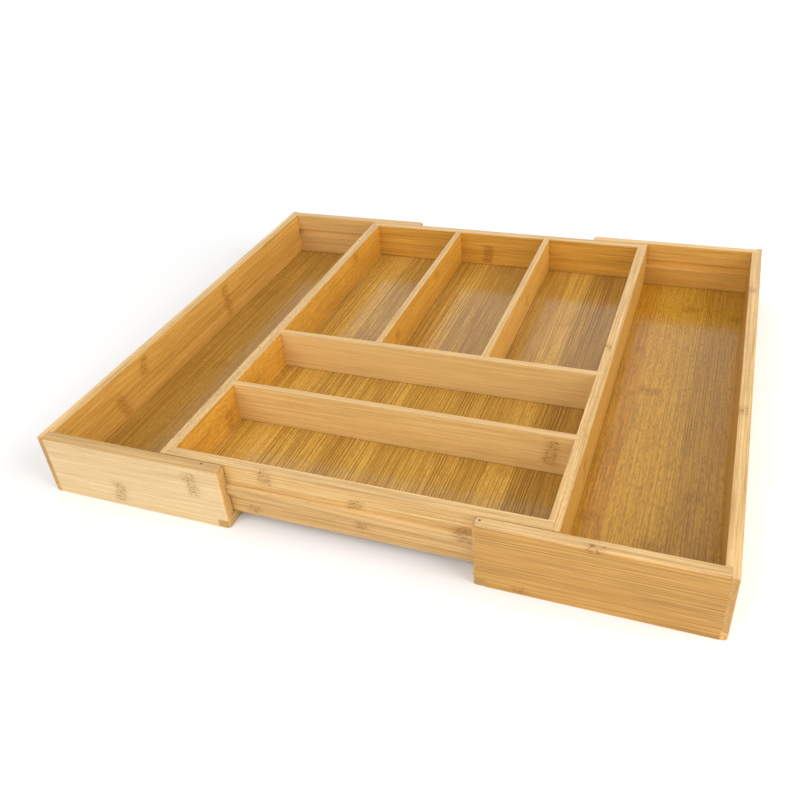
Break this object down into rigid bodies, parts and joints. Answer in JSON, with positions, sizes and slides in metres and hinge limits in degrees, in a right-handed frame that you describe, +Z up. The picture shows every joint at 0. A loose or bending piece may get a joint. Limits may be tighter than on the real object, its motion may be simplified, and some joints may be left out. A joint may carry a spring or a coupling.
{
  "type": "cutlery tray",
  "caption": "Expanding bamboo cutlery tray: a divided centre box with a shallow tray at each side that slides out on runners to widen it.",
  "frame": {"origin": "on the surface that the tray rests on, under the middle of its outline with both side trays out", "axes": "+X to the right across the tray, along the side trays' slides; +Y to the back; +Z up"},
  "size_m": [0.504, 0.44, 0.0537],
  "materials": {
    "bamboo_box_wall": "satin lacquered bamboo",
    "bamboo_tray_wall": "satin lacquered bamboo",
    "bamboo_divider": "satin lacquered bamboo",
    "bamboo_floor": "satin lacquered bamboo",
    "bamboo_stick": "satin lacquered bamboo"
  },
  "bodies": {
    "centre_box": {"box_front_wall": "bamboo_box_wall", "box_rear_wall": "bamboo_box_wall", "box_left_wall": "bamboo_box_wall", "box_right_wall": "bamboo_box_wall", "box_floor_panel": "bamboo_floor", "front_cross_divider": "bamboo_divider", "rear_cross_divider": "bamboo_divider", "left_long_divider": "bamboo_divider", "right_long_divider": "bamboo_divider", "front_runner": "bamboo_stick", "rear_runner": "bamboo_stick"},
    "left_tray": {"left_tray_front_wall": "bamboo_tray_wall", "left_tray_rear_wall": "bamboo_tray_wall", "left_tray_side_wall": "bamboo_tray_wall", "left_tray_floor_panel": "bamboo_floor", "left_tray_inner_rail": "bamboo_stick", "left_tray_outer_rail": "bamboo_stick"},
    "right_tray": {"right_tray_front_wall": "bamboo_tray_wall", "right_tray_rear_wall": "bamboo_tray_wall", "right_tray_side_wall": "bamboo_tray_wall", "right_tray_floor_panel": "bamboo_floor", "right_tray_inner_rail": "bamboo_stick", "right_tray_outer_rail": "bamboo_stick"}
  },
  "joints": [
    {"name": "left_tray_slide", "type": "slide", "parent": "centre_box", "child": "left_tray", "axis": [1, 0, 0], "range_m": [0, 0.0925]},
    {"name": "right_tray_slide", "type": "slide", "parent": "centre_box", "child": "right_tray", "axis": [-1, 0, 0], "range_m": [0, 0.0925]}
  ]
}
